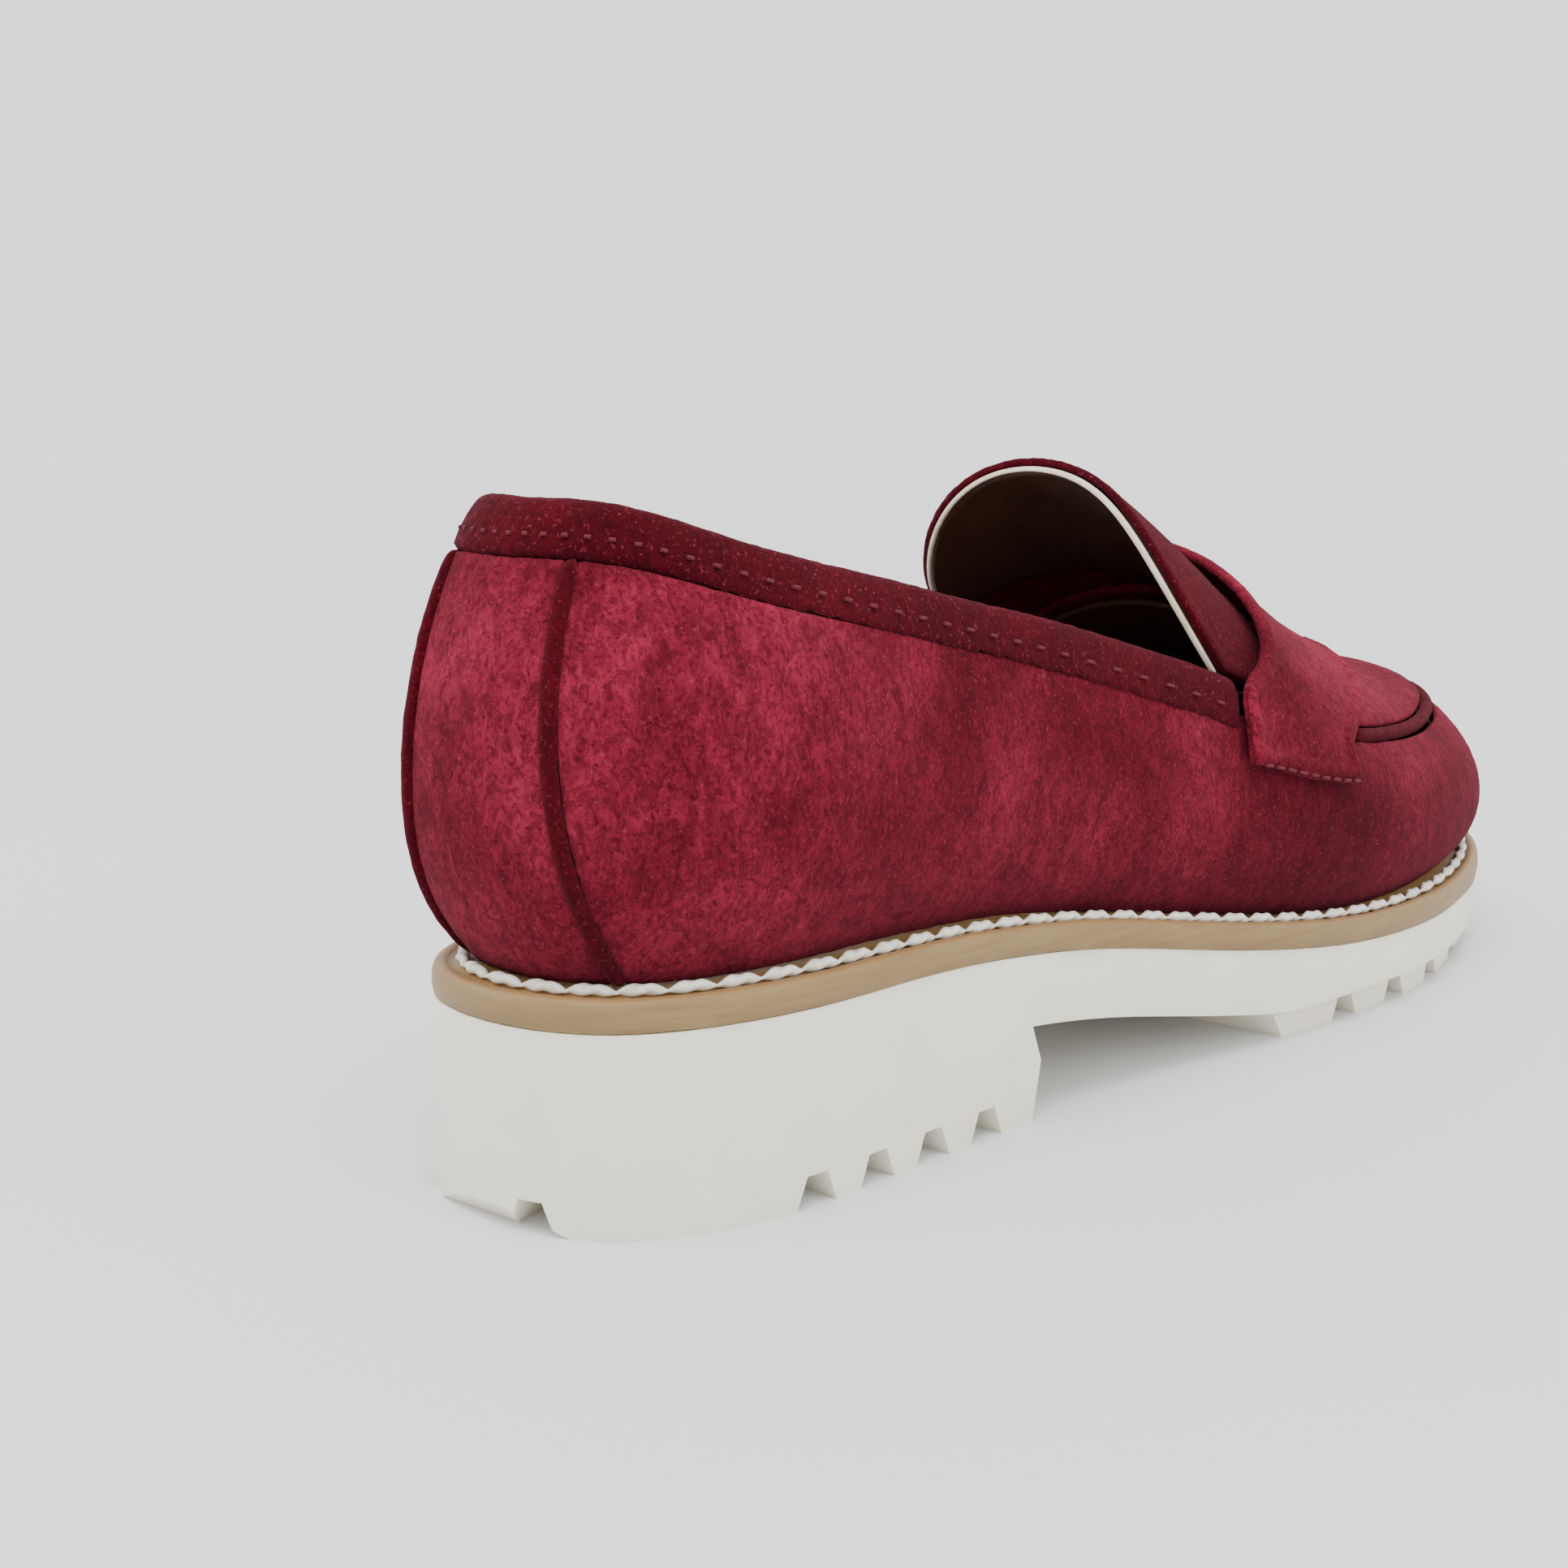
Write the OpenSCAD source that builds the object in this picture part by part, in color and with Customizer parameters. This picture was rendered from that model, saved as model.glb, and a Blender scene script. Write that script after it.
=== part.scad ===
// Penny loafer for the right foot, on a moulded lug sole with a stitched welt.
// X points to the outer side of the foot, Y to the toe, Z up from the ground.

/* [Sole] */
// Length of the sole, heel to toe
sole_l = 285; // [240:1:330]
// Width of the sole at the ball of the foot
ball_w = 100; // [86:1:120]
// Width of the sole at the heel
heel_w = 64; // [54:1:76]
// Height of the moulded sole at the heel
heel_rise = 30.5; // [24:0.5:38]
// Height of the moulded sole at the ball of the foot, with its tread
ball_rise = 14; // [12:0.5:19]
// How far the tread curls up at the tip of the toe
toe_spring = 6; // [0:0.5:9]
// Thickness of the moulded platform between heel and tread
platform_t = 12; // [9:0.5:14]
// Length of the heel block
heel_l = 88; // [72:1:100]
// How far the tread of the forefoot stands in from the edge of the sole
tread_inset = 2.5; // [1:0.5:5]

/* [Tread] */
// Depth of the lugs
lug_h = 5; // [3:0.5:5.5]
// Width of a notch between two lugs at the ground
notch_w = 8; // [5:0.5:9]
// How far a notch runs in from the edge
notch_l = 13; // [8:1:16]
// Number of notches on each long side of the heel
heel_notches = 4; // [2:1:4]
// Number of notches on each long side of the forefoot
fore_notches = 6; // [3:1:6]

/* [Welt] */
// Thickness of the welt
welt_t = 5; // [3:0.5:6]
// Width of the ledge outside the upper
ledge_w = 7; // [6:0.5:8]
// Pitch of the welt stitches
stitch_pitch = 7.5; // [6:0.5:12]
// Thickness of the welt thread
thread_d = 1.8; // [1.2:0.1:2]

/* [Upper] */
// Height of the back of the upper above the welt
back_h = 68.5; // [56:0.5:80]
// Height of the apron seam above the welt at the toe
toe_wall_h = 30; // [25:0.5:35]
// Rise of the instep and tongue over the edges of the apron, full scale
crown_scale = 1; // [0.85:0.01:1.15]
// Thickness of the suede
suede_t = 1.4; // [1:0.1:1.6]
// Thickness of the lining leather
lining_t = 1; // [0.8:0.1:1.2]
// Thickness of the toe puff and the heel stiffener
stiffener_t = 0.8; // [0.6:0.1:1]
// Depth of the padded collar band
collar_h = 8; // [6:0.5:10]
// Thickness of the padded collar band
collar_t = 5; // [4.4:0.1:6]
// Gap between neighbouring layers of the upper
layer_gap = 0.2; // [0.15:0.05:0.3]

/* [Saddle and tongue] */
// Length of the saddle tab along the side of the shoe
tab_l = 29; // [24:1:36]
// How far the saddle tab reaches down past the apron seam
tab_drop = 9.5; // [8:0.5:12]
// Gap between the saddle and the tongue under it
tongue_gap = 1.5; // [1.2:0.1:2]
// How far the tongue runs forward under the saddle
tongue_tuck = 7; // [5:0.5:9]

/* [Insole] */
// Thickness of the insole board
board_t = 2.2; // [1.8:0.1:2.6]
// Thickness of the sock lining
sock_t = 1.2; // [0.8:0.1:1.5]
// Thickness of the heel cushion
cushion_t = 2.5; // [2:0.1:3.5]
// Length of the steel shank
shank_l = 110; // [80:1:120]
// Width of the steel shank
shank_w = 12; // [9:0.5:15]

/* [Hidden] */

design_l = 285;
design_ball_w = 100;
design_heel_w = 64;
half_l = sole_l / 2;
shell_gap = 0.3;
eps = 0.01;

// Stations round the last, from the middle of the heel by the outer side to the toe and back.
// Each is [sole edge x, y, top edge x, y, height share, low bulge, high bulge] at design size.
// The height share runs from 0 at the apron seam of the toe to 1 at the back of the heel.
STATIONS = [
    [0, -142.5, 0, -132, 1.00, 5.7, 5.2],
    [20, -135, 13, -127, 0.985, 6, 5],
    [31, -112, 22.5, -109, 0.87, 5, 4],
    [33.5, -80, 27, -80, 0.74, 4.5, 3],
    [36, -45, 31, -47, 0.59, 4, 2],
    [42, -8, 37, -5, 0.37, 3, 1.5],
    [49, 30, 43.5, 30, 0.10, 2, 1.5],
    [50, 70, 39.5, 70, 0.01, 1.5, 1],
    [38.5, 111, 27.5, 106, 0, 2, 1],
    [14, 137, 11.5, 127.5, 0.015, 2.6, 1.4],
    [-10, 141.5, -8, 131, 0.02, 2.6, 1.4],
    [-31, 128, -22, 118, 0.015, 2, 1],
    [-46, 95, -33.5, 90, 0.03, 1.5, 1],
    [-50, 58, -39.5, 57, 0.13, 1, 0.5],
    [-44, 20, -35.5, 22, 0.41, 0.5, -0.5],
    [-35, -20, -31.5, -20, 0.60, 1, -0.5],
    [-31, -60, -27.5, -60, 0.76, 3, 1],
    [-30.5, -100, -23.5, -102, 0.88, 5, 3.5],
    [-20, -134, -12.5, -126, 0.985, 6, 5]
];
STATION_N = len(STATIONS);
EDGE_N = 96;                 // points round the sole's outline
TOE_STATION = 9.5;

// Height of the welt's top along the foot: [share of half the length, share of the heel's lift].
WELT_LINE = [[-1.05, 1], [-0.75, 1], [-0.5, 0.97], [-0.27, 0.76], [0.02, 0.28], [0.23, 0.05],
             [0.42, 0], [0.68, 0.03], [0.88, 0.12], [1.05, 0.27]];
// Crown of the instep and toe box: [y, height over the line between the two seams] at design size.
CROWN_LINE = [[-20, 34], [0, 30.5], [12, 27.5], [21, 24], [38, 20], [50, 17.5], [67, 13.5],
              [82, 10.5], [96, 9], [112, 7.5], [122, 5], [132, 0.6]];

function mix(a, b, t) = a * (1 - t) + b * t;
function clamp01(t) = min(1, max(0, t));
function smooth(a, b, v) = let(t = clamp01((v - a) / (b - a))) t * t * (3 - 2 * t);
function unit(v) = v / norm(v);
// Value of a table of [key, value] rows, on straight lines between the rows.
function table(rows, k, i = 0) =
    k <= rows[0][0] ? rows[0][1]
    : i >= len(rows) - 1 ? rows[i][1]
    : k <= rows[i + 1][0] ? mix(rows[i][1], rows[i + 1][1],
                                (k - rows[i][0]) / (rows[i + 1][0] - rows[i][0]))
    : table(rows, k, i + 1);
// The same table rounded off over a short stretch to either side.
function table_round(rows, k, r) =
    (table(rows, k - r) + 2 * table(rows, k - r / 2) + 2 * table(rows, k)
     + 2 * table(rows, k + r / 2) + table(rows, k + r)) / 8;
// Smooth closed curve through the stations, s counted in stations.
function blend4(a, b, c, d, t) =
    0.5 * (2 * b + (c - a) * t + (2 * a - 5 * b + 4 * c - d) * t * t
           + (3 * b - a - 3 * c + d) * t * t * t);
function station(s) =
    let(w = s - STATION_N * floor(s / STATION_N), i = floor(w), t = w - i)
    blend4(STATIONS[(i + STATION_N - 1) % STATION_N], STATIONS[i % STATION_N],
           STATIONS[(i + 1) % STATION_N], STATIONS[(i + 2) % STATION_N], t);

function scale_x(y) = mix(heel_w / design_heel_w, ball_w / design_ball_w, smooth(-90, 40, y));
function place(x, y) = [x * scale_x(y), y * sole_l / design_l];

function lift(y) = table_round(WELT_LINE, y / half_l, 0.09);
function sole_z(y) = mix(ball_rise, heel_rise, lift(y));
function welt_z(y) = sole_z(y) + welt_t;

// Outline of the sole moved in by d.
function edge_at(s) = let(r = station(s)) place(r[0], r[1]);
function edge_normal(s) = let(t = edge_at(s + 0.02) - edge_at(s - 0.02)) unit([t.y, -t.x]);
function outline(d) = [for (i = [0:EDGE_N - 1]) let(s = i * STATION_N / EDGE_N)
                       edge_at(s) - d * edge_normal(s)];

// Side wall of the upper: a curve at each station from the feather edge up to the top edge.
feather_gap = 0.2 + suede_t;
low_pull = 0.2;              // height of the curve's low handle, as a share of the wall
high_pull = 0.32;            // depth of its high handle under the top edge, as a share
curve_share = 1.12;          // length of the wall's curve over its height
function wall_top(s) = let(r = station(s), p = place(r[2], r[3]))
    [p.x, p.y, mix(ball_rise + welt_t + toe_wall_h, heel_rise + welt_t + back_h, r[4])];
function wall_foot(s) = let(p = edge_at(s) - ledge_w * edge_normal(s))
    [p.x, p.y, welt_z(p.y) + feather_gap];
function bezier(a, b, c, d, t) =
    a * pow(1 - t, 3) + b * 3 * t * pow(1 - t, 2) + c * 3 * t * t * (1 - t) + d * pow(t, 3);
function wall(s, v) =
    let(r = station(s), e = edge_at(s), n = edge_normal(s), foot = wall_foot(s),
        top = wall_top(s), h = top.z - foot.z)
    bezier(foot, [e.x + n.x * r[5], e.y + n.y * r[5], foot.z + low_pull * h],
           [e.x + n.x * r[6], e.y + n.y * r[6], top.z - high_pull * h], top, v);
function wall_normal(s, v) =
    let(a = wall(s + 0.05, v) - wall(s - 0.05, v),
        b = wall(s, min(1, v + 0.02)) - wall(s, v - 0.02))
    unit(cross(a, b));
function wall_out(s, v, t) = wall(s, v) + t * wall_normal(s, v);
function wall_h(s) = wall_top(s).z - wall_foot(s).z;
// Share of the wall's height that lies d below the top edge.
function below_top(s, d) = 1 - d / (wall_h(s) * curve_share);

// Station of the wall's top edge at a given y, on the outer (side = 1) or inner side.
function station_at_y(y, side, lo, hi, n = 22) =
    n == 0 ? (lo + hi) / 2
    : let(mid = (lo + hi) / 2, past = wall_top(side > 0 ? mid : STATION_N - mid).y > y)
      past ? station_at_y(y, side, lo, mid, n - 1) : station_at_y(y, side, mid, hi, n - 1);
function edge_point(y, side) =
    let(s = station_at_y(y, side, 0, side > 0 ? TOE_STATION : STATION_N - TOE_STATION))
    wall_top(side > 0 ? s : STATION_N - s);

// Top of the foot: a crowned curve across from the inner to the outer seam at each y.
top_y_end = max([for (s = steps(9, 10.5, 24)) wall_top(s).y]);
function crown(y) = crown_scale * table_round(CROWN_LINE, y * design_l / sole_l, 6);
function top_row(y) = [edge_point(y, -1), edge_point(y, 1)];
function crown_power(y) = mix(1.75, 1.3, smooth(30, 115, y));
function top_on(row, y, u) =
    let(a = 90 * u, k = (1 + sin(a)) / 2, base = mix(row[0], row[1], k))
    [base.x, y, base.z + crown(y) * pow(max(0, cos(a)), crown_power(y))];
function top_normal(row, row2, y, y2, u) =
    let(u0 = max(-0.97, u - 0.02), u1 = min(0.97, u + 0.02))
    unit(cross(top_on(row, y, u1) - top_on(row, y, u0),
               top_on(row2, y2, u) - top_on(row, y, u)));
function top_out(y, u, t) =
    let(y2 = y + 0.6, row = top_row(y), row2 = top_row(y2))
    top_on(row, y, u) + t * top_normal(row, row2, y, y2, u);

// Closed sheet between an outer and an inner grid of points, both [row][column].
module sheet(outer, inner, closed = false) {
    ni = len(outer);
    nj = len(outer[0]);
    flat = concat([for (row = outer) for (p = row) p], [for (row = inner) for (p = row) p]);
    far = ni * nj;
    last = closed ? ni - 1 : ni - 2;
    function a(i, j) = (i % ni) * nj + j;
    function b(i, j) = far + (i % ni) * nj + j;
    function quad(p, q, r, s) = [[p, q, r], [p, r, s]];
    faces = [
        for (i = [0:last]) for (j = [0:nj - 2])
            each quad(a(i, j), a(i, j + 1), a(i + 1, j + 1), a(i + 1, j)),
        for (i = [0:last]) for (j = [0:nj - 2])
            each quad(b(i, j), b(i + 1, j), b(i + 1, j + 1), b(i, j + 1)),
        for (i = [0:last]) each quad(a(i, 0), a(i + 1, 0), b(i + 1, 0), b(i, 0)),
        for (i = [0:last])
            each quad(a(i, nj - 1), b(i, nj - 1), b(i + 1, nj - 1), a(i + 1, nj - 1)),
        if (!closed) for (j = [0:nj - 2]) each quad(a(0, j), b(0, j), b(0, j + 1), a(0, j + 1)),
        if (!closed) for (j = [0:nj - 2])
            each quad(a(ni - 1, j), a(ni - 1, j + 1), b(ni - 1, j + 1), b(ni - 1, j))
    ];
    polyhedron(flat, faces, convexity = 10);
}

// Solid swept along a list of rings, each a list of points, turning against the sweep.
module sweep(rings, closed = false) {
    n = len(rings);
    m = len(rings[0]);
    last = closed ? n - 1 : n - 2;
    faces = [
        for (i = [0:last]) for (j = [0:m - 1])
            let(p = (i % n) * m + j, q = (i % n) * m + (j + 1) % m,
                r = ((i + 1) % n) * m + (j + 1) % m, s = ((i + 1) % n) * m + j)
            each [[p, q, r], [p, r, s]],
        if (!closed) for (j = [1:m - 2]) [0, j + 1, j],
        if (!closed) for (j = [1:m - 2]) let(o = (n - 1) * m) [o, o + j, o + j + 1]
    ];
    polyhedron([for (ring = rings) for (p = ring) p], faces, convexity = 10);
}

function steps(a, b, n) = [for (i = [0:n]) mix(a, b, i / n)];

// Panel of the side wall between two offsets, from v0 up to top_cut below the top edge.
// Its two ends are stations given as functions of v, so that a panel's edge can lean.
module wall_panel(from, to, n, m, t_out, t_in, v0, top_cut) {
    grid = function(t) [for (k = steps(0, 1, n))
        let(s_top = mix(from(1), to(1), k), v1 = below_top(s_top, top_cut(s_top)))
        [for (v = steps(v0, v1, m)) wall_out(mix(from(v), to(v), k), v, t)]];
    sheet(grid(t_out), grid(t_in));
}

// ---- places of the seams ----
counter_s = 0.6;             // station of the seam between heel counter and quarter
counter_bow = 1;             // how far its two ends run forward, in stations
counter_gap = 0.05;          // half the gap that the seam's piping fills, in stations
throat_y = -1;               // where the outer collar ends at the saddle
throat_y_in = 20;            // where the inner collar ends at the saddle
throat_s = station_at_y(throat_y, 1, 0, TOE_STATION);
throat_s_in = STATION_N - station_at_y(throat_y_in, -1, 0, STATION_N - TOE_STATION);
function counter_at(v) = counter_s + counter_bow * pow(v - 0.62, 2);
strap_y_mid = 26;            // rear edge of the saddle on the ridge of the instep
tongue_top_y = -2;           // free edge of the tongue on its ridge
tongue_wave = 4;             // how far that edge swings back halfway down each side

// ---- sole ----
module across() {
    rotate([90, 0, 90]) linear_extrude(height = 2 * ball_w, center = true) children();
}

module side_prism(profile) {
    across() polygon(profile);
}

Y_STEPS = steps(-half_l - 12, half_l + 12, 44);
breast_y = -half_l + heel_l;
tread_y0 = breast_y + 69;
function tread_z(y) = toe_spring * pow(clamp01((y - half_l * 0.5) / (half_l * 0.5)), 1.6);
heel_bevel = 3;

// Side outline of the platform that runs the whole length, and of the heel block under it.
module platform_profile() {
    polygon(concat([for (y = Y_STEPS) [y, sole_z(y)]],
                   [for (i = [len(Y_STEPS) - 1:-1:0]) let(y = Y_STEPS[i])
                    [y, max(tread_z(y) + lug_h + 0.5, sole_z(y) - platform_t)]]));
    ridge_z = sole_z(breast_y) - platform_t;
    polygon([[-half_l - 12, heel_rise - 6], [breast_y - 4, sole_z(breast_y) - 6],
             [breast_y - 0.5, ridge_z + 0.5], [breast_y + 2, ridge_z * 0.62], [breast_y, 0],
             [-half_l + heel_bevel, 0], [-half_l - 2, heel_bevel * 1.8]]);
}

module tread_zone() {
    run = [for (y = steps(tread_y0 + 5, half_l + 12, 16)) y];
    side_prism(concat([[tread_y0 - 4, sole_z(tread_y0) - platform_t + 2],
                       [tread_y0 + 5, sole_z(tread_y0) - 3]],
                      [for (y = run) [y, sole_z(y) - 3]],
                      [for (i = [len(run) - 1:-1:0]) [run[i], tread_z(run[i])]],
                      [[tread_y0, tread_z(0)]]));
}

// One wedge between two lugs, pointing in from the edge at station s.
module notch(s, floor_z) {
    p = edge_at(s) - tread_inset * edge_normal(s);
    n = edge_normal(s);
    translate([p.x, p.y, floor_z])
        rotate([0, 0, atan2(n.y, n.x)])
            rotate([90, 0, -90])
                translate([0, 0, -8])
                    linear_extrude(height = notch_l + 8)
                        polygon([[-notch_w / 2, -9], [notch_w / 2, -9], [notch_w / 2, 0],
                                 [notch_w / 4, lug_h], [-notch_w / 4, lug_h],
                                 [-notch_w / 2, 0]]);
}

function s_of_edge_y(y, side, lo, hi, n = 20) =
    n == 0 ? (lo + hi) / 2
    : let(mid = (lo + hi) / 2)
      (edge_at(side > 0 ? mid : STATION_N - mid).y > y) ? s_of_edge_y(y, side, lo, mid, n - 1)
      : s_of_edge_y(y, side, mid, hi, n - 1);
function edge_s(y, side) = let(s = s_of_edge_y(y, side, 0, 9.5)) side > 0 ? s : STATION_N - s;

module notches() {
    heel_run = heel_l - 48;
    for (side = [-1, 1]) {
        for (i = [0:heel_notches - 1])
            notch(edge_s(breast_y - 12 - i * heel_run / max(1, heel_notches - 1), side), 0);
        for (i = [0:fore_notches - 1])
            let(y = tread_y0 + 19 + i * (half_l - tread_y0 - 34) / max(1, fore_notches - 1))
            notch(edge_s(y, side), tread_z(y));
    }
    for (s = [-1, 0.35]) notch(s, 0);
}

// Shallow bays between the rows of lugs, under the middle of the sole.
module tread_bays() {
    bay_w = heel_w - 2 * tread_inset - 2 * notch_l - 12;
    bay_d = lug_h * 0.6;
    for (i = [0:2])
        translate([-bay_w / 2, breast_y - 27 - i * 17, -1]) cube([bay_w, 9, bay_d + 1]);
    for (i = [0:3])
        translate([-bay_w / 2 - 6, tread_y0 + 18 + i * 15, -1]) cube([bay_w + 12, 8, bay_d + 1]);
}

module outsole() {
    color("whitesmoke") difference() {
        union() {
            intersection() {
                linear_extrude(height = heel_rise + 20) polygon(outline(0));
                across() platform_profile();
            }
            intersection() {
                linear_extrude(height = heel_rise + 20) polygon(outline(tread_inset));
                tread_zone();
            }
        }
        notches();
        tread_bays();
    }
}

// Slab that follows the foot's line, from lo to hi above the sole's top.
module foot_slab(lo, hi) {
    side_prism(concat([for (y = Y_STEPS) [y, sole_z(y) + hi]],
                      [for (i = [len(Y_STEPS) - 1:-1:0]) [Y_STEPS[i], sole_z(Y_STEPS[i]) + lo]]));
}

welt_inner = ledge_w + suede_t + lining_t + 3.5;
module welt() {
    color("tan") intersection() {
        linear_extrude(height = 2 * heel_rise) difference() {
            polygon(outline(0));
            polygon(outline(welt_inner));
        }
        foot_slab(0, welt_t);
    }
}

// Twisted thread lying on the ledge, one plump stitch to each pitch.
stitch_in = 2.6;
module welt_stitches() {
    edge = outline(stitch_in);
    loop_l = [for (i = 0, d = 0; i <= EDGE_N; d = d + norm(edge[(i + 1) % EDGE_N]
              - edge[i % EDGE_N]), i = i + 1) d];
    count = round(loop_l[EDGE_N] / stitch_pitch);
    function at(d, i = 0) =
        d <= loop_l[i + 1] || i >= EDGE_N - 1
        ? mix(edge[i], edge[(i + 1) % EDGE_N], (d - loop_l[i]) / (loop_l[i + 1] - loop_l[i]))
        : at(d, i + 1);
    pitch = loop_l[EDGE_N] / count;
    color("ivory") for (k = [0:count - 1]) {
        a = at(k * pitch);
        b = at(min((k + 0.84) * pitch, loop_l[EDGE_N] - eps));
        mid = (a + b) / 2;
        d = b - a;
        rise = (welt_z(b.y) - welt_z(a.y)) / norm(d);
        translate([mid.x, mid.y, welt_z(mid.y) + thread_d * 0.5 + 0.35])
            rotate([0, 0, atan2(d.y, d.x)]) rotate([0, -atan(rise), 0])
                rotate([0, 90, 0])
                    cylinder(h = norm(d), r = thread_d / 2, center = true, $fn = 16);
    }
}

bottom_in = welt_inner + shell_gap;
fill_split = breast_y + 36;
module bottom_filler() {
    color("peru") intersection() {
        linear_extrude(height = 2 * heel_rise) intersection() {
            polygon(outline(bottom_in));
            translate([-ball_w, fill_split]) square([2 * ball_w, sole_l]);
        }
        foot_slab(0, welt_t - board_t);
    }
}

shank_t = 1.4;
module shank() {
    color("silver") intersection() {
        linear_extrude(height = 2 * heel_rise)
            translate([0, fill_split - 1 - shank_l / 2]) hull() {
                for (side = [-1, 1])
                    translate([0, side * (shank_l - shank_w) / 2])
                        circle(d = shank_w, $fn = 24);
            }
        foot_slab(0, shank_t);
    }
}

module insole_board() {
    color("burlywood") intersection() {
        linear_extrude(height = 2 * heel_rise) polygon(outline(bottom_in));
        foot_slab(welt_t - board_t, welt_t);
    }
}

heel_pad_y = breast_y - 8;
sock_in = ledge_w + suede_t + lining_t + 1.6;
module heel_cushion() {
    color("wheat") intersection() {
        linear_extrude(height = 2 * heel_rise) intersection() {
            polygon(outline(sock_in + 5));
            translate([-ball_w, -sole_l]) square([2 * ball_w, sole_l + heel_pad_y]);
        }
        foot_slab(welt_t, welt_t + cushion_t);
    }
}

// The sock lining steps up over the heel cushion and lies on the board in front of it.
module sock_lining() {
    color("saddlebrown") intersection() {
        linear_extrude(height = 2 * heel_rise) polygon(outline(sock_in));
        union() {
            foot_slab(welt_t + cushion_t, welt_t + cushion_t + sock_t);
            intersection() {
                foot_slab(welt_t, welt_t + cushion_t + sock_t);
                translate([-ball_w, heel_pad_y + 0.3, 0])
                    cube([2 * ball_w, sole_l, 3 * heel_rise]);
            }
        }
    }
}

// ---- upper ----
suede_color = [0.48, 0.09, 0.2];
lining_color = [0.24, 0.14, 0.08];

collar_cut = collar_h + 1;
ridge_cut = 1.9;
// Depth of the wall's upper edge under the top line: the collar's depth behind, a seam's in front.
cut_lead = 0.05;             // stations before the throat where the cut starts to change
cut_run = 0.35;              // stations after the throat where it has changed
function wall_cut(s) =
    mix(collar_cut, ridge_cut,
        s < STATION_N / 2 ? smooth(throat_s - cut_lead, throat_s + cut_run, s)
                          : smooth(throat_s_in + cut_lead, throat_s_in - cut_run, s));

module vamp_and_quarters() {
    color(suede_color)
        wall_panel(function(v) counter_at(v) + counter_gap,
                   function(v) STATION_N - counter_at(v) - counter_gap, 70, 8,
                   suede_t, 0, 0, function(s) wall_cut(s));
}

module heel_counter() {
    color(suede_color)
        wall_panel(function(v) counter_gap - counter_at(v), function(v) counter_at(v) - counter_gap,
                   18, 9, suede_t, 0, 0, function(s) collar_cut);
}

// Ring of a round cord at p, across the directions a and b.
function cord_ring(p, a, b, r, n) = [for (i = [0:n - 1]) p + r * (cos(360 * i / n) * a
                                                                   + sin(360 * i / n) * b)];

// Narrow folded strips that finish the two counter seams.
module counter_piping() {
    color(suede_color * 0.85) for (side = [-1, 1]) {
        v1 = below_top(side * counter_s, collar_cut);
        sweep([for (v = steps(0.01, v1, 12))
            let(s = side * counter_at(v), n = wall_normal(s, v),
                up = unit(wall(s, v + 0.02) - wall(s, v - 0.02)),
                across = cross(up, n), p = wall_out(s, v, suede_t * 0.62))
            [for (q = [[-0.85, -0.8], [-0.85, 0.8], [-0.45, 1.25], [0.45, 1.25], [0.85, 0.8],
                       [0.85, -0.8]]) p + q.y * n - q.x * across]]);
    }
}

stiff_clear = 0.25;
stiff_out = -layer_gap - stiff_clear;
stiffener_drop = 14;         // how far the heel stiffener ends below the collar
module counter_stiffener() {
    color("khaki")
        wall_panel(function(v) -counter_s - 1, function(v) counter_s + 1, 22, 6,
                   stiff_out, stiff_out - stiffener_t, 0.02,
                   function(s) collar_cut + stiffener_drop);
}

puff_s = 7.4;                // station where the toe puff ends on either side
module toe_puff() {
    color("khaki")
        wall_panel(function(v) puff_s, function(v) STATION_N - puff_s, 16, 5,
                   stiff_out, stiff_out - stiffener_t, 0.02, function(s) ridge_cut + 3);
}

line_clear = 0.45;
line_out = stiff_out - stiffener_t - line_clear;
line_seam_s = 5.2;
line_seam_s_in = STATION_N - 5.0;
line_gap = 0.03;
function lining_cut(s) = wall_cut(s) + 0.4;
module vamp_lining() {
    color(lining_color)
        wall_panel(function(v) line_seam_s + line_gap, function(v) line_seam_s_in - line_gap, 34, 6,
                   line_out, line_out - lining_t, 0.01, function(s) lining_cut(s));
}

module quarter_lining() {
    color(lining_color)
        wall_panel(function(v) line_seam_s_in + line_gap - STATION_N,
                   function(v) line_seam_s - line_gap, 38, 6,
                   line_out, line_out - lining_t, 0.01, function(s) lining_cut(s));
}

// Sections of the collar: out across the wall and up along it, from the middle of its top edge.
collar_mid = suede_t - collar_t / 2 + 0.5;
function collar_frame(s) =
    let(v = below_top(s, collar_h / 2), n = wall_normal(s, v),
        up = unit(wall(s, v + 0.03) - wall(s, v - 0.03)), p = wall(s, 1))
    [p, n, up];
function collar_ring(s, shape) = let(f = collar_frame(s)) [for (q = shape)
    f[0] + (collar_mid + q.x) * f[1] + q.y * f[2]];
skin_t = 1;
half_c = collar_t / 2;
// Skin folded over the padding, open below.
BINDING = concat(
    [[half_c, -collar_h]],
    [for (a = [0:30:180]) [half_c * cos(a), -half_c + half_c * sin(a)]],
    [[-half_c, -collar_h], [-half_c + skin_t, -collar_h]],
    [for (a = [180:-45:0]) [(half_c - skin_t) * cos(a), -half_c + (half_c - skin_t) * sin(a)]],
    [[half_c - skin_t, -collar_h]]);
PADDING = concat(
    [[half_c - skin_t - layer_gap, -collar_h]],
    [for (a = [0:45:180]) [(half_c - skin_t - layer_gap) * cos(a),
                           -half_c + (half_c - skin_t - layer_gap) * sin(a)]],
    [[-half_c + skin_t + layer_gap, -collar_h]]);
collar_run = steps(throat_s_in - STATION_N, throat_s, 56);

module collar_binding() {
    color(suede_color) sweep([for (s = collar_run) collar_ring(s, BINDING)]);
}

module collar_padding() {
    color("lightyellow") sweep([for (s = collar_run) collar_ring(s, PADDING)]);
}

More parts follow.
